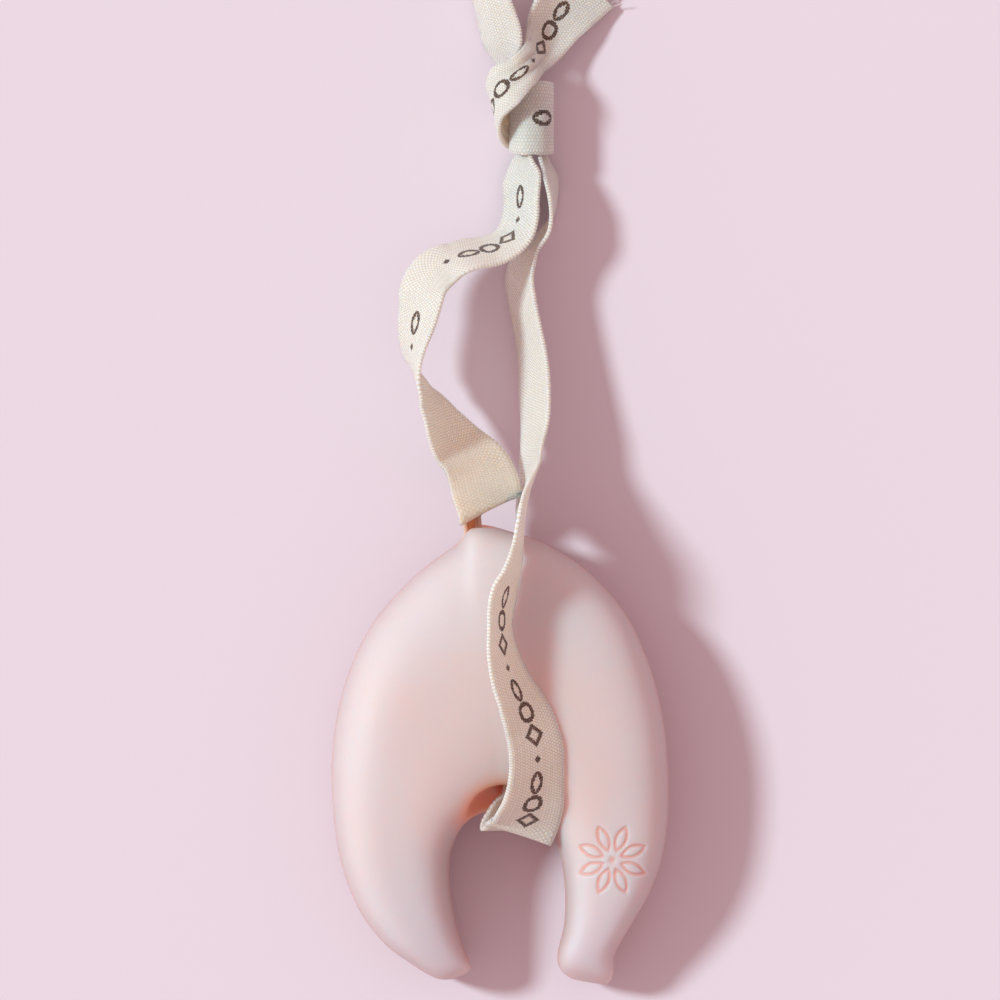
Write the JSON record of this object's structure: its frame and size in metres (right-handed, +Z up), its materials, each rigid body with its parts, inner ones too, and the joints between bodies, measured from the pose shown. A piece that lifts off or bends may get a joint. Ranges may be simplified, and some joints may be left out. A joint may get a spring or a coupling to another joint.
{
  "type": "bar of soap",
  "caption": "Pebble-smooth horseshoe of pink soap with a channel through its bridge, hung on a looped and knotted length of woven cotton tape.",
  "frame": {"origin": "on the flat underside of the bar, below the middle of the bridge", "axes": "+Z up, the tape's loop and knot towards +Y, the legs towards -Y"},
  "size_m": [0.0731, 0.2237, 0.0436],
  "materials": {
    "soap": "smooth poured soap, satin and slightly translucent",
    "tape": "woven cotton with fine cross ribs"
  },
  "bodies": {
    "root": {"soap_bar": "soap", "hanging_tape": "tape"}
  },
  "joints": []
}
